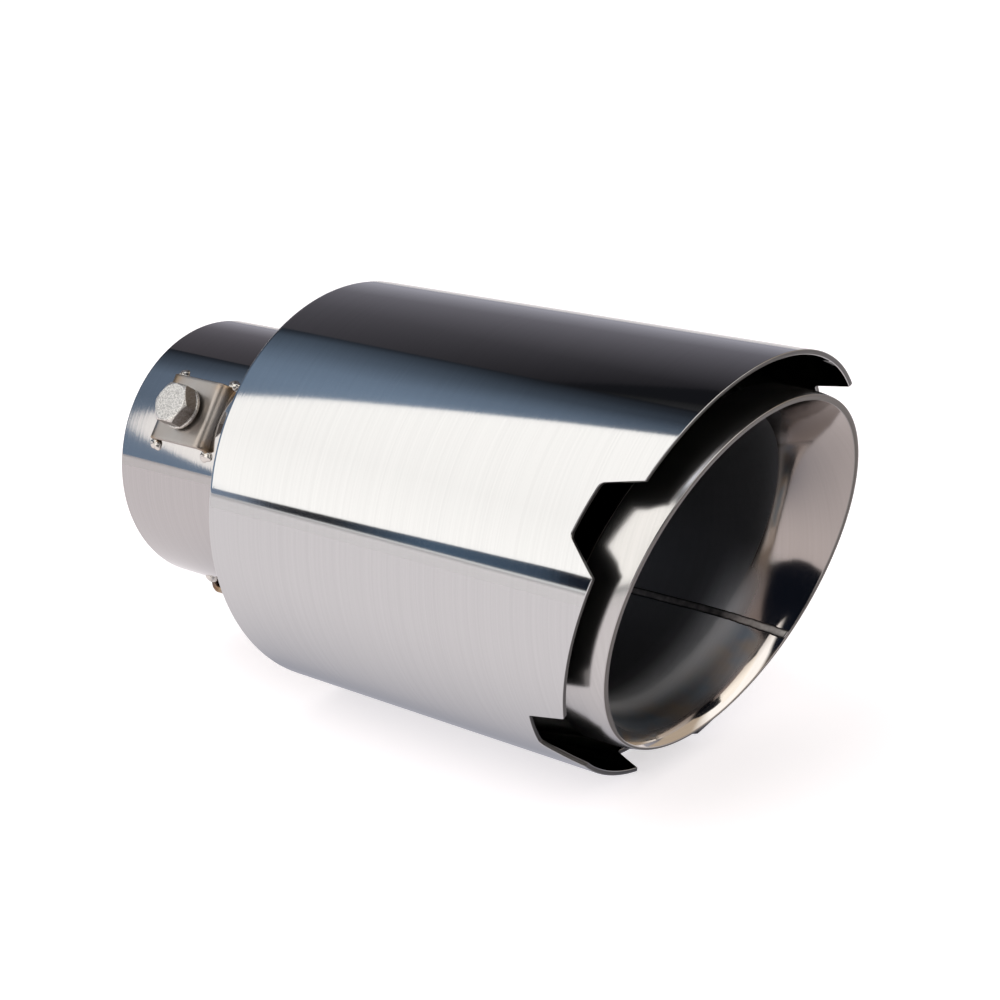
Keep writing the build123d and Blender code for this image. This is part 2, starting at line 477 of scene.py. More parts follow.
def fold_sections(clock):
    """The folded lip from behind: the cone, the collar's inside, its turned end and its outside.

    The cone runs straight up to the fold. The collar runs back from there at one radius, turns in a half
    ellipse and comes forward to the lip, standing above it by a parabola that levels off at the crown's
    length.
    """
    cone_rim = lip_radius - collar_sheet / 2
    fold_share = 1 - (collar_sheet / 2 + fold_gap) / (cone_rim - wide_radius)
    fold_depth = flare_depth * (1 - fold_share)
    collar_end = collar_length - collar_sheet / 2
    turn = np.linspace(0, np.pi, 8)[1:-1]
    turn_radii = lip_radius + crown_height - (collar_sheet + crown_height) / 2 * (1 + np.cos(turn))
    depths = np.linspace(collar_end, lip_round, 32)
    crown = crown_height * (1 - np.clip(1 - (depths - lip_round) / crown_length, 0, 1) ** 2)
    cone_shares = np.linspace(0, fold_share, 24)
    inside_depths = np.linspace(fold_depth + fold_gap / 2, collar_end, 8)
    return {
        "cone": [on_flare(wide_radius, cone_rim, clock, share, 1.0) for share in cone_shares],
        "collar inside": cut_rows(clock, lip_radius - collar_sheet, inside_depths),
        "collar end": cut_rows(clock, turn_radii, collar_end + collar_sheet / 2 * np.sin(turn)),
        "collar": cut_rows(clock, lip_radius + crown, depths),
    }


def lip_sections(clock):
    """The lip: a small round from the collar to the end face, then a wide roll that runs into the flare.

    The roll leaves the flare along its slope and opens out by a little more, as a parabola, most of all low
    down.
    """
    turns = edge_turns[1:]
    opening = np.interp(low_side(clock, *lip_opening_and_highlight_side), (0, 1), lip_open)[:, None]
    outward = on_slant(0.0, np.cos(clock), np.sin(clock)) * opening
    rim_radii = lip_radius - lip_round * (1 - np.cos(turns))
    shares = 1 - lip_roll * (1 - roll_bends) / flare_depth
    return {
        "rim": cut_rows(clock, rim_radii, lip_round * (1 - np.sin(turns))),
        "roll": [flare_row(clock, share) + outward * bend ** 2 for share, bend in zip(shares, roll_bends)],
    }


def pipe_grid(clock):
    """The pipe's skin from the mouth along the outside to the rim and back inside, with each part's rows."""
    sections = {
        "mouth": mouth_rows(clock, pipe_radius, 1),
        "outside": wall_rows(clock, 0.0),
        **fold_sections(clock),
        **lip_sections(clock),
        "flare": [flare_row(clock, share) for share in flare_shares[::-1]],
        "bore": wall_rows(clock, pipe_wall)[::-1],
        "mouth inside": mouth_rows(clock, bore_radius, -1)[::-1],
    }
    spans = {}
    stop = 0
    for name, rows in sections.items():
        spans[name] = slice(stop, stop + len(rows))
        stop += len(rows)
    return np.stack([row for rows in sections.values() for row in rows]), spans


def pipe_marks(clock, spans):
    """How much of each kind the skin is, from 0 to 1, by the kind's name, for the finish to mix by."""
    shape = (spans["mouth inside"].stop, len(clock))
    names = ("inside", "edge", "collar", "flare", "tinted", "lip", "satin")
    marks = {name: np.zeros(shape) for name in names}
    marks["edge"][spans["rim"]][2:] = 1.0
    marks["edge"][spans["roll"]][:1] = 1.0
    marks["collar"][spans["collar end"]] = 1.0
    marks["collar"][spans["collar"]] = 1.0
    marks["flare"][spans["roll"]][1:] = 1.0
    marks["flare"][spans["flare"]] = 1.0
    # a painted highlight along the roll of the lower lip
    marks["lip"][spans["roll"]] = ease_in(2 * roll_bends[:, None]) * low_side(clock, *lip_opening_and_highlight_side)
    shares = flare_shares[::-1, None]
    marks["inside"][spans["flare"]] = ease_in((dull_share - shares) / dull_fade)
    marks["inside"][spans["bore"].start:] = 1.0
    tint_end = tint_share * low_side(clock, *tint_side)
    marks["tinted"][spans["flare"]] = ease_in((tint_end - shares) / tint_fade)
    # satin low down, with a painted sheen: the finish gives it a lighter colour there
    satin = low_side(clock, *satin_sheen_side)
    back = leaning_shares[:, None] * (flare_station - swell_end)
    marks["satin"][spans["flare"]] = ease_in((satin_sheen_share - shares) / satin_sheen_fade) * satin
    marks["satin"][spans["bore"]][:len(back)] = ease_in(1 - back / satin_sheen_reach) * satin
    return marks


def make_pipe(finish):
    """The pipe with its three clamp holes: each has a stretch of grid swapped for rings that close on it."""
    clock = np.linspace(-np.pi, np.pi, pipe_columns, endpoint=False)
    grid, spans = pipe_grid(clock)
    marks = pipe_marks(clock, spans)
    rows, columns = grid.shape[:2]
    quads = ring_quads(rows, columns)
    normals = grid_normals(grid) * np.sign(volume(grid.reshape(-1, 3), quads.reshape(-1, 4)))
    normals[spans["outside"]][:len(straight_rows)] = on_tube(1.0, clock, 0.0)
    normals[spans["bore"]][-len(straight_rows):] = -on_tube(1.0, clock, 0.0)
    keep = np.ones((rows, columns), bool)
    all_points = [grid.reshape(-1, 3)]
    all_normals = [normals.reshape(-1, 3)]
    all_marks = {name: [values.ravel()] for name, values in marks.items()}
    all_quads = []
    count = rows * columns
    tall = len(hole_rows) - 1
    outer_hole = spans["outside"].start + len(inlet_rows)
    inner_hole = spans["bore"].stop - len(inlet_rows) - len(hole_rows)
    for centre in clamp_clocks:
        first = np.argmin(np.abs(clock - centre)) - hole_columns // 2
        hole_loops = []
        for radius, start, facing in ((pipe_radius, outer_hole, 1), (bore_radius, inner_hole, -1)):
            loop_rows, loop_columns = box_loop(start, start + tall, first, first + hole_columns)
            keep[start:start + tall, first:first + hole_columns] = False
            corners = grid[loop_rows, loop_columns]
            across = radius * np.sin(np.arctan2(corners[:, 0], corners[:, 2]) - centre)
            along = -corners[:, 1] - clamp_station
            closing = closing_rings(across, along, boss_radius + boss_gap, 5)
            ring_clock = centre + np.arcsin(closing * across / radius)
            all_points.append(on_tube(radius, ring_clock, clamp_station + closing * along).reshape(-1, 3))
            all_normals.append(facing * on_tube(1.0, ring_clock, 0.0).reshape(-1, 3))
            for name, values in all_marks.items():
                values.append(np.full(closing.size, float(name == "inside" and facing < 0)))
            rings = count + np.arange(closing.size).reshape(closing.shape)
            loops = np.vstack([loop_rows * columns + loop_columns, rings])
            count += closing.size
            all_quads.append(loop_quads(loops))
            hole_loops.append(loops[-1])
        # the inner wall's rows run back to the mouth, so its loop is met from the other end
        order = (2 * hole_columns + tall - np.arange(len(hole_loops[1]))) % len(hole_loops[1])
        all_quads.append(loop_quads(np.vstack([hole_loops[0], hole_loops[1][order]])))
    piece = make_piece(
        "pipe_and_flare",
        np.vstack(all_points),
        np.vstack([quads[keep], *all_quads]),
        finish,
        np.vstack(all_normals),
        {name: np.concatenate(values) for name, values in all_marks.items()},
    )
    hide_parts("inner_pipe")


def make_seam(finish):
    """The lengthwise weld inside the pipe: a low bead along the bore and the flare at one clock angle.

    Its height is a half ellipse across, times a slow waver and the ripples of the weld pool along it, and
    another half ellipse sinks into the wall. A share of -1 to 0 runs along the bore, and from 0 on up the
    flare.
    """
    share = np.concatenate([np.linspace(-1, 0, 240)[:-1], np.linspace(0, seam_end_share, 70)])[:, None]
    turn = np.linspace(0, 2 * np.pi, 24, endpoint=False)[None, :]
    waver = np.sin(share * 23) * 0.35 + np.sin(share * 61 + 1.3) * 0.2
    ripple = np.sin(share * 560)
    across = seam_width / 2 * (np.cos(turn) + 0.12 * waver)
    bead = seam_height * (0.85 + 0.15 * waver + 0.08 * ripple)
    rise = np.where(np.sin(turn) > 0, np.sin(turn) * bead, seam_depth * np.sin(turn))
    straight_clock = seam_clock + across / wide_bore
    end = flare_station + wide_bore * slant_rise * np.cos(straight_clock)
    station = seam_start + np.clip(share + 1, 0, 1) * (end - seam_start)
    straight = on_tube(bore_radius + pipe_bend(station) - rise, straight_clock, station)
    wall = flare_row(straight_clock, np.clip(share, 0, 1))
    inward = wall * np.array([1.0, 0.0, 1.0])
    inward = -inward / np.linalg.norm(inward, axis=-1, keepdims=True)
    points = np.where((share <= 0)[..., None], straight, wall + inward * rise[..., None])
    rows, columns = points.shape[:2]
    # how far each point lies in the bead's feet, which the finish darkens with painted shade
    foot = np.broadcast_to(ease_in((np.abs(np.cos(turn)) - 0.45) / 0.4), (rows, columns))
    make_piece(
        "lengthwise_seam",
        points.reshape(-1, 3),
        capped_quads(rows, columns),
        finish,
        attributes={"foot": foot},
    )


# Rear ring

def bend_points(centre, radius, start, end, steps=8):
    """Points of an arc in the (station, radius) plane, with angles in degrees from the station axis."""
    angle = np.radians(np.linspace(start, end, steps))
    return np.stack([centre[0] + radius * np.cos(angle), centre[1] + radius * np.sin(angle)], axis=-1)


def make_ring(finish):
    """A pressed washer: a section whose outer edge is turned in along the shell, carried round the axis."""
    outer, inner = shell_bore - weld_gap, pipe_radius + weld_gap
    inside = ring_rear + ring_sheet
    # points a little in from each sharp corner keep the shading flat up to it
    hold = 0.3
    section = np.vstack([
        [[ring_front, outer], [ring_front - hold, outer]],
        bend_points((inside, outer - ring_sheet), ring_sheet, 90, 180),
        [[ring_rear, inner + hold], [ring_rear, inner], [inside, inner], [inside, inner + hold]],
        [[inside, outer - ring_sheet], [ring_front, outer - ring_sheet]],
    ])
    clock = np.linspace(0, 2 * np.pi, 240, endpoint=False)
    grid = on_tube(section[:, 1:2], clock[None, :], section[:, 0:1])
    quads = ring_quads(*grid.shape[:2]).reshape(-1, 4)
    piece = make_piece("pressed_ring", grid.reshape(-1, 3), quads, finish, sharp=35)
    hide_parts("rear_ring")


# Clamp saddles, their welds and bolts

face_columns = 25
saddle_corners = np.array([[1, 1], [1, -1], [-1, 1], [-1, -1]])


def on_clamp(clock, along, across, height):
    """Points about a clamp: along to the outlet, across to growing clock angles, height from the axis."""
    along, across, height = np.broadcast_arrays(along, across, height)
    return np.stack([
        height * np.sin(clock) + across * np.cos(clock),
        -clamp_station - along,
        height * np.cos(clock) - across * np.sin(clock),
    ], axis=-1)


def saddle_section():
    """The strip's section once round, as across and depth: outer face, edge, inner face, edge."""
    half = saddle_width / 2 - saddle_edge_round
    deep = saddle_sheet / 2
    flat = np.linspace(-half, half, face_columns)
    arc = np.linspace(np.pi / 2, -np.pi / 2, 7)[1:-1]
    bulge = saddle_edge_round * np.cos(arc)
    edge = deep * np.sin(arc)
    across = np.concatenate([flat, half + bulge, flat[::-1], -half - bulge])
    depth = np.concatenate([np.full(face_columns, deep), edge, np.full(face_columns, -deep), edge[::-1]])
    return across, depth


def saddle_grid():
    """Along, across and height of the strip's skin: its section over a flat top and two bends.

    Each line of the section runs down its bend, or past it, until its height meets the pipe's round.
    """
    across, depth = saddle_section()
    bend_along = saddle_length / 2 - saddle_bend - saddle_sheet
    bend_height = saddle_top - saddle_bend - saddle_sheet
    radius = saddle_bend + saddle_sheet / 2 + depth
    floor = np.sqrt((pipe_radius + weld_gap) ** 2 - across ** 2)
    turn_end = np.arccos(np.clip((floor - bend_height) / radius, 0, 1))
    leg = np.clip(bend_height - floor, 0, None)
    run = np.linspace(1, 0, 15)[:-1, None] * (radius * turn_end + leg)
    turn = np.minimum(run / radius, turn_end)
    bend_out = bend_along + radius * np.sin(turn)
    bend_up = bend_height + radius * np.cos(turn) - np.clip(run - radius * turn_end, 0, None)
    top = np.linspace(-bend_along, bend_along, 21)[:, None]
    top_shape = (len(top), len(across))
    along = np.concatenate([-bend_out, np.broadcast_to(top, top_shape), bend_out[::-1]])
    height = np.concatenate([bend_up, np.broadcast_to(bend_height + radius, top_shape), bend_up[::-1]])
    return along, across, height


def saddle_heat(points, clock):
    """How hot the welding left each point: the most that any tack gives, as a bell curve of the distance."""
    half = saddle_width / 2 - saddle_edge_round
    foot = saddle_corners * np.array([saddle_length / 2, half])
    corners = on_clamp(clock, foot[:, 0], foot[:, 1], np.sqrt(pipe_radius ** 2 - half ** 2))
    away = np.linalg.norm(points[:, None] - corners[None], axis=-1)
    return np.max(np.array(tack_heat) * np.exp(-(away / heat_reach) ** 2), axis=1)


def make_saddle(number, clock, finish):
    """A bent strip over the inlet, with a hole in its top that runs on below as a tapped boss."""
    along, across, height = saddle_grid()
    grid = on_clamp(clock, along, across[None, :], height)
    rows, columns = grid.shape[:2]
    quads = ring_quads(rows, columns, closed=False)
    keep = np.ones(quads.shape[:2], bool)
    numbers = np.arange(rows * columns).reshape(rows, columns)
    points = [grid.reshape(-1, 3)]
    all_quads = [cap_quads(np.roll(numbers[0], 2))[:, ::-1], cap_quads(np.roll(numbers[-1], 2))]
    count = rows * columns
    # the hole: rings close on it above and below, in a box of quads about the middle of each face
    size = 8
    row = rows // 2
    rings = []
    for column, radius, level in (
        (face_columns // 2, tap_radius, saddle_top),
        (columns // 2 + face_columns // 2, boss_radius, saddle_top - saddle_sheet),
    ):
        loop_rows, loop_columns = box_loop(row - size, row + size, column - size, column + size)
        keep[row - size:row + size, column - size:column + size] = False
        out, side = along[loop_rows, loop_columns], across[loop_columns]
        closing = closing_rings(out, side, radius, 3)
        points.append(on_clamp(clock, closing * out, closing * side, level).reshape(-1, 3))
        inner_loops = count + np.arange(closing.size).reshape(closing.shape)
        loops = np.vstack([numbers[loop_rows, loop_columns], inner_loops])
        count += closing.size
        all_quads.append(loop_quads(loops))
        rings.append((loops[-1], np.arctan2(side, out)))
    # the boss hangs from the lower ring, and its bore runs back up to the upper one
    (upper, upper_angle), (lower, angle) = rings
    loops = [lower]
    for radius, level in (
        (boss_radius, thread_end + boss_chamfer),
        (boss_radius - boss_chamfer, thread_end),
        (tap_radius, thread_end),
    ):
        points.append(on_clamp(clock, radius * np.cos(angle), radius * np.sin(angle), level))
        loops.append(count + np.arange(len(angle)))
        count += len(angle)
    # the upper ring is met by its angle, since the two faces' columns run opposite ways
    apart = np.abs(np.angle(np.exp(1j * (angle[:, None] - upper_angle[None, :]))))
    loops.append(upper[np.argmin(apart, axis=1)])
    all_quads.append(loop_quads(np.vstack(loops)))
    all_points = np.vstack(points)
    piece = make_piece(
        f"clamp_strip_{number}",
        all_points,
        np.vstack([quads[keep], *all_quads]),
        finish,
        attributes={"weld_heat": saddle_heat(all_points, clock)},
        sharp=50,
    )
    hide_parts(f"clamp_saddle_{number}")


def make_tacks(number, clock, finish):
    """Weld tacks beside a saddle's four corners: flattened spheres, sunk half into the pipe.

    Each sphere's radius is 1 plus two low waves round it, which start elsewhere on each tack.
    """
    rows, columns = 17, 32
    pole = np.pi / 2 - 0.05
    turn = np.linspace(0, 2 * np.pi, columns, endpoint=False)[None, :]
    tilt = np.linspace(-pole, pole, rows)[:, None]
    half_long, half_wide = 0.66 * tack_width, 0.5 * tack_width
    end_inset, side_gap = 0.8, 0.7
    all_points, all_quads = [], []
    for place, (end, side) in enumerate(saddle_corners):
        wave = 0.10 * np.sin(3 * turn + place + number) * np.cos(tilt)
        lump = 1 + wave + 0.06 * np.sin(5 * turn - 2 * place)
        out = end * (saddle_length / 2 - end_inset) + half_long * np.cos(tilt) * np.cos(turn) * lump
        across = side * (saddle_width / 2 + side_gap) + half_wide * np.cos(tilt) * np.sin(turn) * lump
        height = np.sqrt(pipe_radius ** 2 - across ** 2) + tack_height * np.sin(tilt) * lump
        all_points.append(on_clamp(clock, out, across, height).reshape(-1, 3))
        all_quads.append(capped_quads(rows, columns) + place * rows * columns)
    make_piece(f"weld_tacks_{number}", np.vstack(all_points), np.vstack(all_quads), finish)


def thread_rows(turn):
    """Radius and height of the thread's rings, from the tip up.

    The radius is a triangle wave of the height less the turn, which grows from the root over the run-in.
    """
    rows = []
    for height in np.arange(thread_end + 0.25, head_seat, 0.125):
        wave = np.abs(np.mod((height - turn / (2 * np.pi) * thread_pitch) / thread_pitch, 1.0) * 2 - 1)
        fade = np.clip((height - thread_end) / thread_run_in, 0, 1)
        rows.append((thread_radius - thread_depth * (wave * fade + (1 - fade)), height))
    return rows


def make_bolt(number, clock, finish):
    """A hex bolt: rings of points about its own axis, from the tip of the thread to the middle of the head.

    The hex's radius is its flat over the cosine of the angle from the flat's middle, and a cone takes off
    its upper corners. Rows close beside each edge keep the faces flat up to it. Each pole is a ring too
    small to see, closed by a cap.
    """
    pole = 0.02
    turn = np.linspace(0, 2 * np.pi, 144, endpoint=False)
    hexagon = hex_flat / np.cos(np.mod(turn, np.pi / 3) - np.pi / 6)
    seat = head_seat + head_collar_height
    top = seat + hex_height
    bevel = hex_chamfer / (hex_flat / np.cos(np.pi / 6) - hex_flat + hex_chamfer / 2)
    face = hex_flat - hex_chamfer / 2
    under = top - (hexagon - face) * bevel
    rows = [(pole, thread_end), (2.0, thread_end)] + thread_rows(turn)
    rows += [(thread_radius, head_seat), (head_collar_radius - head_under_round - 0.05, head_seat)]
    for angle in np.linspace(0, np.pi / 2, 4):
        radius = head_collar_radius - head_under_round * (1 - np.sin(angle))
        rows.append((radius, head_seat + head_under_round * (1 - np.cos(angle))))
    for angle in np.linspace(0, np.pi / 2, 6):
        radius = head_collar_radius - head_over_round * (1 - np.cos(angle))
        rows.append((radius, seat - head_over_round * (1 - np.sin(angle))))
    # the hex's flanks, which the finish darkens brown with painted shade
    shaded_flanks = slice(len(rows), len(rows) + 3)
    rows += [(np.minimum(hexagon, head_collar_radius - 0.4), seat), (hexagon, seat + 0.35)]
    rows += [(hexagon, under - 0.12), (hexagon - 0.02, under - 0.05), (hexagon - 0.12, under + 0.05)]
    rows += [(face + 0.08, top - 0.04), (face - 0.02, top - 0.005), (face - 0.15, top)]
    rows += [(radius, top) for radius in (4.0, 3.0, 2.0, 1.0, pole)]
    grid = np.stack([
        on_clamp(clock, radius * np.cos(turn), radius * np.sin(turn), height) for radius, height in rows
    ])
    flank_shade = np.zeros(grid.shape[:2])
    flank_shade[shaded_flanks] = 1.0
    piece = make_piece(
        f"hex_bolt_{number}",
        grid.reshape(-1, 3),
        capped_quads(*grid.shape[:2]),
        finish,
        attributes={"flank_shade": flank_shade},
        sharp=28,
    )
    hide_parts(f"clamp_bolt_{number}")


# Finishes

def colour(code):
    """An sRGB hex colour as linear red, green, blue and an alpha of 1."""
    parts = np.array([int(code[k:k + 2], 16) for k in (1, 3, 5)]) / 255
    linear = np.where(parts <= 0.04045, parts / 12.92, ((parts + 0.055) / 1.055) ** 2.4)
    return (*linear.tolist(), 1.0)


def add_node(tree, kind, inputs=None, links=None, stops=(), **settings):
    """A node of a kind, with its settings, its sockets' values, what feeds them and a ramp's stops."""
    node = tree.nodes.new(kind)
    for key, value in settings.items():
        setattr(node, key, value)
    for key, value in (inputs or {}).items():
        node.inputs[key].default_value = value
    for key, source in (links or {}).items():
        tree.links.new(source, node.inputs[key])
    for number, (position, code) in enumerate(stops):
        ramp = node.color_ramp.elements
        stop = ramp[number] if number < 2 else ramp.new(position)
        stop.position = position
        stop.color = colour(code)
    return node


def new_metal(name):
    """A bare metal: its material, tree and shader, and the Object coordinates that its patterns read."""
    finish = bpy.data.materials.new(name)
    finish.use_nodes = True
    tree = finish.node_tree
    shader = tree.nodes["Principled BSDF"]
    shader.inputs["Metallic"].default_value = 1.0
    place = add_node(tree, "ShaderNodeTexCoord").outputs["Object"]
    return finish, tree, shader, place


def per_metre(millimetres):
    """How many times a pattern of some size in millimetres repeats in a metre."""
    return 1000.0 / millimetres


def fine_lines(tree, place, line_mm, run_mm, detail):
    """Lines round the axis: noise that is short along Y and long across it."""
    scale = (per_metre(run_mm), per_metre(line_mm), per_metre(run_mm))
    stretched = add_node(tree, "ShaderNodeMapping", {"Scale": scale}, {"Vector": place}).outputs[0]
    inputs = {"Scale": 1.0, "Detail": detail}
    return add_node(tree, "ShaderNodeTexNoise", inputs, {"Vector": stretched}).outputs["Fac"]


def brush_tone(tree, place, tone):
    """A colour made a little lighter and darker along the lines that buffing leaves round the axis.

    Real lines are finer than the render can show, so these are drawn 0.4 mm wide.
    """
    spread = 0.025
    levels = {"From Min": 0.3, "From Max": 0.7, "To Min": 1 - spread, "To Max": 1 + spread}
    lines = fine_lines(tree, place, 0.4, 90.0, 4.0)
    level = add_node(tree, "ShaderNodeMapRange", levels, {"Value": lines}).outputs[0]
    links = {0: tone, "Scale": level}
    return add_node(tree, "ShaderNodeVectorMath", None, links, operation="SCALE").outputs[0]


def buffed_skin(tree, shader, place, wave_mm, wave_depth_mm, line_depth_mm):
    """The unevenness that polishing leaves, as soft waves, with the wheel's lines on top; both are bumps.

    The lines are drawn 0.45 mm wide, coarse enough to show.
    """
    inputs = {"Scale": per_metre(wave_mm), "Detail": 1.0}
    waves = add_node(tree, "ShaderNodeTexNoise", inputs, {"Vector": place}).outputs["Fac"]
    lines = fine_lines(tree, place, 0.45, 40.0, 3.0)
    links = {}
    for height, depth_mm in ((waves, wave_depth_mm), (lines, line_depth_mm)):
        depth = {"Strength": 1.0, "Distance": depth_mm * MM}
        bump = add_node(tree, "ShaderNodeBump", depth, {"Height": height, **links}).outputs[0]
        links = {"Normal": bump}
    tree.links.new(bump, shader.inputs["Normal"])


def grainy_skin(tree, shader, place, size_mm, detail, depth_mm):
    """Grains of some size, raised by some depth, as the shader's normal; returns their own pattern.

    Real grain is mostly finer than the render can show, so the sizes given are coarse enough to.
    """
    inputs = {"Scale": per_metre(size_mm), "Detail": detail}
    grain = add_node(tree, "ShaderNodeTexNoise", inputs, {"Vector": place}).outputs["Fac"]
    bump = add_node(tree, "ShaderNodeBump", {"Distance": depth_mm * MM}, {"Height": grain}).outputs[0]
    tree.links.new(bump, shader.inputs["Normal"])
    return grain


def polished_stainless_shell():
    """Stainless sheet, rolled and buffed on a lathe.

    Buffing leaves a near mirror with faint lines round the axis and a slight unevenness. The cut edge is
    dull.
    """
    finish, tree, shader, place = new_metal("buffed stainless shell")
    edge = add_node(tree, "ShaderNodeAttribute", attribute_name="edge").outputs["Fac"]
    tones = {6: colour("#c9c9c9"), 7: colour("#575554")}
    tone = add_node(tree, "ShaderNodeMix", tones, {0: edge}, data_type="RGBA").outputs[2]
    levels = {"To Min": 0.055, "To Max": 0.4}
    rough = add_node(tree, "ShaderNodeMapRange", levels, {"Value": edge}).outputs[0]
    tree.links.new(brush_tone(tree, place, tone), shader.inputs["Base Color"])
    tree.links.new(rough, shader.inputs["Roughness"])
    buffed_skin(tree, shader, place, 45.0, 0.035, 0.0022)
    return finish


def polished_stainless_pipe():
    """Stainless tube, buffed outside and on the flare as far as the wheel reaches, drawn and dull within.

    The outside mirrors. The flare is a little warmer and softer from the forming, tinted blue and straw
    below the seam by its heat, and satin about its start low down, where a painted sheen, lighter in colour,
    runs on into the bore; along its lower lip it has a painted highlight, lighter and smoother. The folded
    collar is only brushed, and the bore is a dark grey with a broad sheen and lines round it.
    """
    finish, tree, shader, place = new_metal("buffed stainless tube")
    clouds = {"Scale": per_metre(9.0), "Detail": 2.0}
    cloud = add_node(tree, "ShaderNodeTexNoise", clouds, {"Vector": place}).outputs["Fac"]
    stops = ((0.42, "#7e8995"), (0.72, "#978e85"))
    heat = add_node(tree, "ShaderNodeValToRGB", None, {"Fac": cloud}, stops).outputs[0]
    mark = add_node(tree, "ShaderNodeAttribute", attribute_name="flare").outputs["Fac"]
    tones = {6: colour("#bcb9b8"), 7: colour("#aaa29d")}
    tone = add_node(tree, "ShaderNodeMix", tones, {0: mark}, data_type="RGBA").outputs[2]
    rough = add_node(tree, "ShaderNodeMix", {2: 0.055, 3: 0.1}, {0: mark}).outputs[0]
    for name, over, level in (
        ("tinted", heat, 0.36),
        # the lower lip: a painted highlight, lighter and smoother
        ("lip", "#d9d4cf", 0.08),
        ("collar", "#c6c4c2", 0.18),
        ("edge", "#67635f", 0.42),
        ("inside", "#7e7f82", 0.42),
        # satin: rougher, with a painted sheen in its lighter colour
        ("satin", "#dcdee2", 0.55),
    ):
        mark = add_node(tree, "ShaderNodeAttribute", attribute_name=name).outputs["Fac"]
        inputs, links = ({7: colour(over)}, {}) if isinstance(over, str) else ({}, {7: over})
        links = {0: mark, 6: tone, **links}
        tone = add_node(tree, "ShaderNodeMix", inputs, links, data_type="RGBA").outputs[2]
        rough = add_node(tree, "ShaderNodeMix", {3: level}, {0: mark, 2: rough}).outputs[0]
    tree.links.new(brush_tone(tree, place, tone), shader.inputs["Base Color"])
    tree.links.new(rough, shader.inputs["Roughness"])
    buffed_skin(tree, shader, place, 30.0, 0.02, 0.002)
    return finish


def satin_stainless_ring():
    """Stainless sheet as it left the press: an even satin that blurs what it mirrors."""
    finish, tree, shader, place = new_metal("pressed stainless ring")
    shader.inputs["Base Color"].default_value = colour("#b9b7b5")
    shader.inputs["Roughness"].default_value = 0.42
    grainy_skin(tree, shader, place, 0.8, 4.0, 0.004)
    return finish


def mill_strip():
    """Steel strip with its mill finish, bent and tacked on: a warm satin grey, straw to brown by the welds.

    The finish is a fine grain, and the welds' heat fades with clouded edges.
    """
    finish, tree, shader, place = new_metal("mill-finish steel strip")
    shader.inputs["Roughness"].default_value = 0.36
    heat = add_node(tree, "ShaderNodeAttribute", attribute_name="weld_heat").outputs["Fac"]
    clouds = {"Scale": per_metre(3.0), "Detail": 4.0}
    cloud = add_node(tree, "ShaderNodeTexNoise", clouds, {"Vector": place}).outputs["Fac"]
    uneven = add_node(tree, "ShaderNodeMath", {1: 0.45}, {0: cloud}, operation="SUBTRACT").outputs[0]
    links = {0: uneven, 2: heat}
    level = add_node(tree, "ShaderNodeMath", {1: 0.5}, links, operation="MULTIPLY_ADD").outputs[0]
    stops = ((0.0, "#b4aea8"), (0.35, "#aea49b"), (0.55, "#a88f72"), (0.75, "#8a6d55"), (1.0, "#6d5f58"))
    skin = add_node(tree, "ShaderNodeValToRGB", None, {"Fac": level}, stops).outputs[0]
    tree.links.new(skin, shader.inputs["Base Color"])
    grainy_skin(tree, shader, place, 0.35, 4.0, 0.006)
    return finish


def forged_bolt():
    """A forged bolt: a blasted zinc-grey skin, matte and grainy, with painted shade that darkens the hex's
    flanks.
    """
    finish, tree, shader, place = new_metal("forged steel bolt")
    shader.inputs["Roughness"].default_value = 0.42
    grain = grainy_skin(tree, shader, place, 0.4, 5.0, 0.03)
    stops = ((0.3, "#aaa59f"), (0.62, "#f2eee8"))
    bright = add_node(tree, "ShaderNodeValToRGB", None, {"Fac": grain}, stops).outputs[0]
    # painted shade: the hex's flanks mix towards a dark brown
    flank_shade = add_node(tree, "ShaderNodeAttribute", attribute_name="flank_shade").outputs["Fac"]
    flank_shade_level = add_node(tree, "ShaderNodeMath", {1: 0.7}, {0: flank_shade}, operation="MULTIPLY").outputs[0]
    links = {0: flank_shade_level, 6: bright}
    skin = add_node(tree, "ShaderNodeMix", {7: colour("#5f554e")}, links, data_type="RGBA").outputs[2]
    tree.links.new(skin, shader.inputs["Base Color"])
    return finish


def weld_metal():
    """Weld metal, cooled from the melt: bright and smooth with slow ripples."""
    finish, tree, shader, place = new_metal("weld metal")
    shader.inputs["Base Color"].default_value = colour("#dcd7d0")
    shader.inputs["Roughness"].default_value = 0.27
    grainy_skin(tree, shader, place, 1.2, 2.0, 0.05)
    return finish


def ground_seam():
    """The lengthwise weld, ground nearly flush: a soft sheen on its top, and painted shade, nearly black,
    along its feet.
    """
    finish, tree, shader, place = new_metal("ground seam")
    shader.inputs["Roughness"].default_value = 0.34
    cloud = grainy_skin(tree, shader, place, 2.0, 3.0, 0.008)
    stops = ((0.3, "#8f8d8c"), (0.7, "#c4c0bd"))
    bright = add_node(tree, "ShaderNodeValToRGB", None, {"Fac": cloud}, stops).outputs[0]
    # painted shade along the bead's feet, where it meets the wall
    foot = add_node(tree, "ShaderNodeAttribute", attribute_name="foot").outputs["Fac"]
    links = {0: foot, 6: bright}
    skin = add_node(tree, "ShaderNodeMix", {7: colour("#262424")}, links, data_type="RGBA").outputs[2]
    tree.links.new(skin, shader.inputs["Base Color"])
    return finish


strip_finish = mill_strip()
bolt_finish = forged_bolt()
weld_finish = weld_metal()
pipe_finish = polished_stainless_pipe()
make_shell(polished_stainless_shell())
make_pipe(pipe_finish)
make_seam(ground_seam())
make_ring(satin_stainless_ring())
for number, clock in enumerate(clamp_clocks, start=1):
    make_saddle(number, clock, strip_finish)
    make_tacks(number, clock, weld_finish)
    make_bolt(number, clock, bolt_finish)


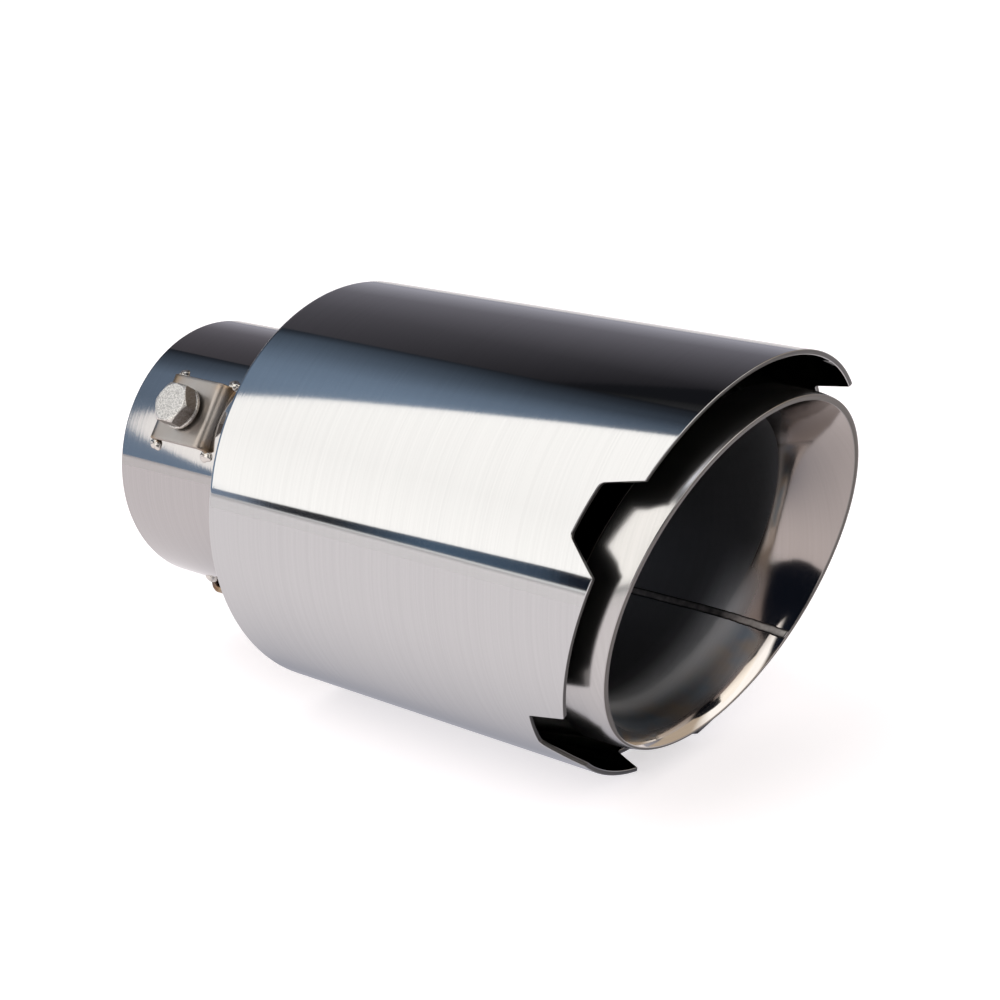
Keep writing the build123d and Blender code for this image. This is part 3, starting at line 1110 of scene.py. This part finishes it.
# Studio: a pale floor, bright cards and dark screens about the tip, given as directions from its middle.
# Azimuth starts at the inlet's side (+Y) and grows towards +X; the room is level for the tip as it was laid.
# Distances only settle which card hides which. The glow of the floor, how much of it the metal mirrors, and
# the world's soft fill light are shares of white. room_turn is the roll from the room's frame to the tip's.

tip_roll = np.radians(6.0)
tip_middle = np.array([0.0, -110.0, 0.0])
room_turn = np.array([
    [np.cos(tip_roll), 0, np.sin(tip_roll)],
    [0, 1, 0],
    [-np.sin(tip_roll), 0, np.cos(tip_roll)],
])
floor_glow = 0.55
floor_mirrored = 0.33
world_fill = 0.55


def card_glow():
    """Light that a card sends out, from the colour at its corners."""
    finish = bpy.data.materials.new("card glow")
    finish.use_nodes = True
    tree = finish.node_tree
    tree.nodes.remove(tree.nodes["Principled BSDF"])
    corner = add_node(tree, "ShaderNodeAttribute", attribute_name="shade").outputs["Color"]
    light = add_node(tree, "ShaderNodeEmission", None, {"Color": corner}).outputs[0]
    tree.links.new(light, tree.nodes["Material Output"].inputs["Surface"])
    return finish


card_finish = card_glow()


def shade(code, strength=1.0):
    """A card's colour at one corner, times a strength."""
    return np.array(colour(code)) * strength


def between(start, end, level):
    """Shades from one to another by levels from 0 to 1."""
    return start + (end - start) * np.asarray(level)[..., None]


def toward(azimuth, elevation):
    """Unit vectors of directions given in degrees."""
    azimuth, elevation = np.radians(azimuth), np.radians(elevation)
    level = np.cos(elevation)
    return np.stack([np.sin(azimuth) * level, np.cos(azimuth) * level, np.sin(elevation)], axis=-1)


def spread(azimuths, elevations):
    """A grid of directions: a row for each elevation, with every azimuth in it."""
    return np.stack(np.meshgrid(azimuths, elevations), axis=-1)


def make_card(name, directions, distance, shades, light=False):
    """A card from corner to corner, in rows of directions at one distance from the tip's middle."""
    directions = np.array(directions, float)
    points = toward(directions[..., 0], directions[..., 1]) * distance + tip_middle
    return lay_card(name, points @ room_turn.T, shades, light)


def lay_card(name, points, shades, light=False):
    """A card from a grid of points in millimetres, each with its own shade; only the metal shows it."""
    rows, columns = points.shape[:2]
    first = (np.arange(rows - 1)[:, None] * columns + np.arange(columns - 1)).ravel()
    quads = np.stack([first, first + 1, first + columns + 1, first + columns], axis=-1)
    mesh = bpy.data.meshes.new(name)
    mesh.from_pydata((points * MM).reshape(-1, 3).tolist(), [], quads.tolist())
    layer = mesh.attributes.new("shade", "FLOAT_COLOR", "POINT")
    layer.data.foreach_set("color", np.broadcast_to(shades, (rows, columns, 4)).astype(np.float32).ravel())
    mesh.materials.append(card_finish)
    card = bpy.data.objects.new(name, mesh)
    bpy.context.scene.collection.objects.link(card)
    card.visible_camera = False
    card.visible_shadow = False
    card.visible_diffuse = light


def make_left_cards():
    """What the tip's left side mirrors: a tall white card, a low strip below it and the blue-grey beyond."""
    white = shade("#fffdfa", 1.62)
    corners = [
        [(-88, -0.5), (-66, -0.5), (-53.6, 1.6), (-47.7, -0.7), (-42.7, -2.0)],
        [(-88, 22), (-66, 22), (-55, 22), (-45, 22), (-34.3, 22)],
        [(-88, 48), (-66, 48), (-53.6, 49.9), (-40.9, 55.1), (-7.2, 60)],
    ]
    make_card("white card", corners, 3000, np.stack([white, 0.94 * white, white])[:, None], True)
    # between it and the floor: pale, then dark, then blue
    azimuths = (-42.3, -43.6, -44.5, -46.5, -49.5, -53.5)
    tones = ("#8a9db6", "#8a95a8", "#2d2e32", "#2d2e32", "#576d84", "#435264")
    make_card("low strip", spread(azimuths, (-4, 2.6)), 3100, np.stack([shade(tone) for tone in tones]))
    # the blue-grey falls off to dark sideways and above, with a soft dark band across its far half
    directions = spread((-52, -40, -22, -13, -3, 5, 10), (-4, 12, 29, 40, 44, 51, 60))
    azimuth, elevation = directions[..., 0], directions[..., 1]
    sideways = np.interp(azimuth, (-40, -22, -13, -3, 5, 10), (1, 0.95, 0.8, 0.5, 0.3, 0.06))
    level = sideways ** np.interp(elevation, (44, 51, 60), (1, 1.8, 2.2))
    level *= np.interp(elevation, (44, 51, 60), (1, 0.9, 0.35))
    band_start = np.interp(elevation, (29, 40), (-40, -16))
    level *= 1 - 0.42 * np.isin(elevation, (29, 40)) * ease_in((azimuth - band_start) / 20)
    make_card("blue-grey card", directions, 3400, between(shade("#1b1c20"), shade("#8a9fb8"), level))


def make_screens():
    """Screens that close the room: a light overhead, and dark to grey walls and roof round the rest."""
    navy = shade("#141a26")
    overhead = spread((-200, -180, -160, -138), (44, 72))
    make_card("overhead light", overhead, 2600, shade("#fff8ee", 1.45), True)
    make_card("left screen", spread((-124, -103, -82, -61, -40), (-4, 14, 32, 50)), 4400, navy)
    # a dark edge that stands on the floor on the camera's left, with a foot that climbs away from it
    foot = [(-222, -10), (-240, -24), (-253, -35), (-268, -51), (-430, -51)]
    foot = np.array([(-300, along, height) for along, height in foot], float)
    lay_card("dark edge", np.stack([foot, foot * [1, 1, 0] + [0, 0, 45]]), navy)
    # grey behind, lighter towards the floor
    tones = ("#9da2b0", "#a8a7b1", "#78767e", "#57555b", "#2b2a2e")
    rear = spread((-2, 30, 65, 100), (-16, 8, 22, 38, 50))
    make_card("rear screen", rear, 3800, np.stack([shade(tone) for tone in tones])[:, None])
    make_card("roof", spread(range(-180, 181, 45), (40, 60, 88)), 4200, shade("#1b1c20"))


def make_canopy():
    """A soft canopy over the camera's left: rings of directions about its middle, brightest there."""
    middle = toward(-75.0, 72.0)
    angles = (0.5, 6, 11, 14, 17, 21, 25, 32, 40)
    levels = (1.5, 1.45, 1.45, 0.57, 0.34, 0.2, 0.125, 0.08, 0.02)
    ring, turn = np.meshgrid(np.radians(angles), np.linspace(0, 2 * np.pi, 25), indexing="ij")
    sweep = np.stack([np.sin(ring) * np.cos(turn), np.sin(ring) * np.sin(turn), np.cos(ring)], axis=-1)
    side = np.cross(middle, [1.0, 0.0, 0.0])
    side /= np.linalg.norm(side)
    points = 3800 * sweep @ np.stack([side, np.cross(middle, side), middle]) + tip_middle
    lay_card("canopy", points @ room_turn.T, shade("#f4f7ff") * np.array(levels)[:, None, None])


def make_open_sides():
    """Dark below and white above beside the camera, and a warm grey wall round to the other side."""
    wall, dark, white = shade("#c9b9a6"), shade("#141a26"), shade("#fffdfa", 1.45)
    low = [wall, wall, wall, wall, dark, dark]
    high = [wall, wall, white, white, white, white]
    directions = spread((95, 128, 146, 156, 200, 237), (-5, 20, 26, 50))
    make_card("open side", directions, 3900, np.array([low, low, high, high]))


def seen_directly(tree, share=1.0):
    """1 for rays from the camera, a share of it for rays that a surface mirrors or lets through, else 0."""
    path = add_node(tree, "ShaderNodeLightPath").outputs
    links = {0: path["Is Glossy Ray"], 1: path["Is Transmission Ray"]}
    passed_on = add_node(tree, "ShaderNodeMath", None, links, operation="MAXIMUM").outputs[0]
    part = add_node(tree, "ShaderNodeMath", {1: share}, {0: passed_on}, operation="MULTIPLY").outputs[0]
    links = {0: path["Is Camera Ray"], 1: part}
    return add_node(tree, "ShaderNodeMath", None, links, operation="MAXIMUM").outputs[0]


def make_floor():
    """A large pale floor that keeps the tip's soft shadow and shows white, also in the polished metal."""
    reach = 8.0
    level = cad_box[0].z - 0.0004
    corners = [(x * reach, y * reach, level) for x, y in ((-1, -1), (1, -1), (1, 1), (-1, 1))]
    mesh = bpy.data.meshes.new("pale floor")
    mesh.from_pydata(corners, [], [(0, 1, 2, 3)])
    finish = bpy.data.materials.new("pale floor paint")
    finish.use_nodes = True
    tree = finish.node_tree
    paint = tree.nodes["Principled BSDF"]
    paint.inputs["Base Color"].default_value = colour("#e6e1e3")
    paint.inputs["Roughness"].default_value = 0.9
    paint.inputs["Emission Color"].default_value = shade("#fffdfd", floor_glow)
    tree.links.new(seen_directly(tree, floor_mirrored), paint.inputs["Emission Strength"])
    mesh.materials.append(finish)
    floor = bpy.data.objects.new("pale floor", mesh)
    bpy.context.scene.collection.objects.link(floor)


def make_painted_contact_shade():
    """Painted shade over the floor close to the tip, which only the metal shows: dark under the tip, white
    further out.

    The shade is an exponential of the distance from a line below the axis, past half the contact's width.
    """
    line_start, line_end = -125.0, -45.0
    contact_half = 27.0
    fade = 22.0
    fine, coarse = 5, 65
    across = [np.arange(-500, -110, coarse), np.arange(-110, 111, fine), np.arange(110, 501, coarse)[1:]]
    along = [np.arange(-560, -220, coarse), np.arange(-220, 51, fine), np.arange(50, 401, coarse)[1:]]
    x, y = np.meshgrid(np.concatenate(across).astype(float), np.concatenate(along).astype(float))
    away = np.hypot(x, y - np.clip(y, line_start, line_end))
    light = 1 - np.exp(-np.clip(away - contact_half, 0, None) / fade)
    points = np.stack([x, y, np.full(x.shape, cad_box[0].z / MM - 0.2)], axis=-1)
    # a sheet of painted shade, darkest under the tip
    lay_card("painted_contact_shade", points, between(shade("#adadb6"), shade("#fff9fb", 1.01), light))


def add_lamp(name, place, size, power):
    """A round area lamp, placed in metres from the tip's middle, which it faces; no metal mirrors it."""
    data = bpy.data.lights.new(name, "AREA")
    data.shape = "DISK"
    data.size = size
    data.energy = power
    lamp = bpy.data.objects.new(name, data)
    lamp.location = Vector(tip_middle * MM) + Vector(place)
    lamp.rotation_euler = (-Vector(place)).to_track_quat("-Z", "Y").to_euler()
    bpy.context.scene.collection.objects.link(lamp)
    lamp.visible_glossy = False


def light_world():
    """Surroundings that are white where they are seen, and a soft fill light elsewhere."""
    world = bpy.data.worlds.new("white surroundings")
    bpy.context.scene.world = world
    world.use_nodes = True
    tree = world.node_tree
    levels = {"To Min": world_fill, "To Max": 1.0}
    strength = add_node(tree, "ShaderNodeMapRange", levels, {"Value": seen_directly(tree)}).outputs[0]
    tree.links.new(strength, tree.nodes["Background"].inputs["Strength"])
    tree.nodes["Background"].inputs["Color"].default_value = (1.0, 1.0, 1.0, 1.0)


make_left_cards()
make_screens()
make_canopy()
make_open_sides()
make_floor()
make_painted_contact_shade()
add_lamp("top lamp", (-0.5, 0.3, 1.6), 1.2, 5.0)
add_lamp("front lamp", (-0.9, -1.2, 0.9), 0.9, 3.5)
light_world()
bpy.context.scene.view_settings.view_transform = "Standard"


# Camera: at the photograph's angle, with the tip rolled a little about its own axis
camera_azimuth = np.radians(47.622)
camera_elevation = np.radians(15.619)
camera_distance = 523.484
camera_target = np.array([0.0, -90.0, 0.0])
camera_lens = 78.374
camera_shift = (0.02977, 0.00829)


def aim_camera():
    """The camera on a sphere about the target, then turned about the axis by the tip's roll."""
    back = np.array([
        -np.sin(camera_azimuth) * np.cos(camera_elevation),
        -np.cos(camera_azimuth) * np.cos(camera_elevation),
        np.sin(camera_elevation),
    ])
    right = np.cross(-back, [0.0, 0.0, 1.0])
    right /= np.linalg.norm(right)
    up = np.cross(back, right)
    columns = np.stack([right, up, back, (camera_target + camera_distance * back) * MM], axis=-1)
    data = bpy.data.cameras.new("photo camera")
    data.sensor_width = 36.0
    data.lens = camera_lens
    data.shift_x, data.shift_y = camera_shift
    data.clip_start = 0.01
    data.clip_end = 50.0
    camera = bpy.data.objects.new("photo camera", data)
    camera.matrix_world = Matrix(np.vstack([room_turn @ columns, [0, 0, 0, 1]]).tolist())
    bpy.context.scene.collection.objects.link(camera)
    bpy.context.scene.camera = camera


aim_camera()
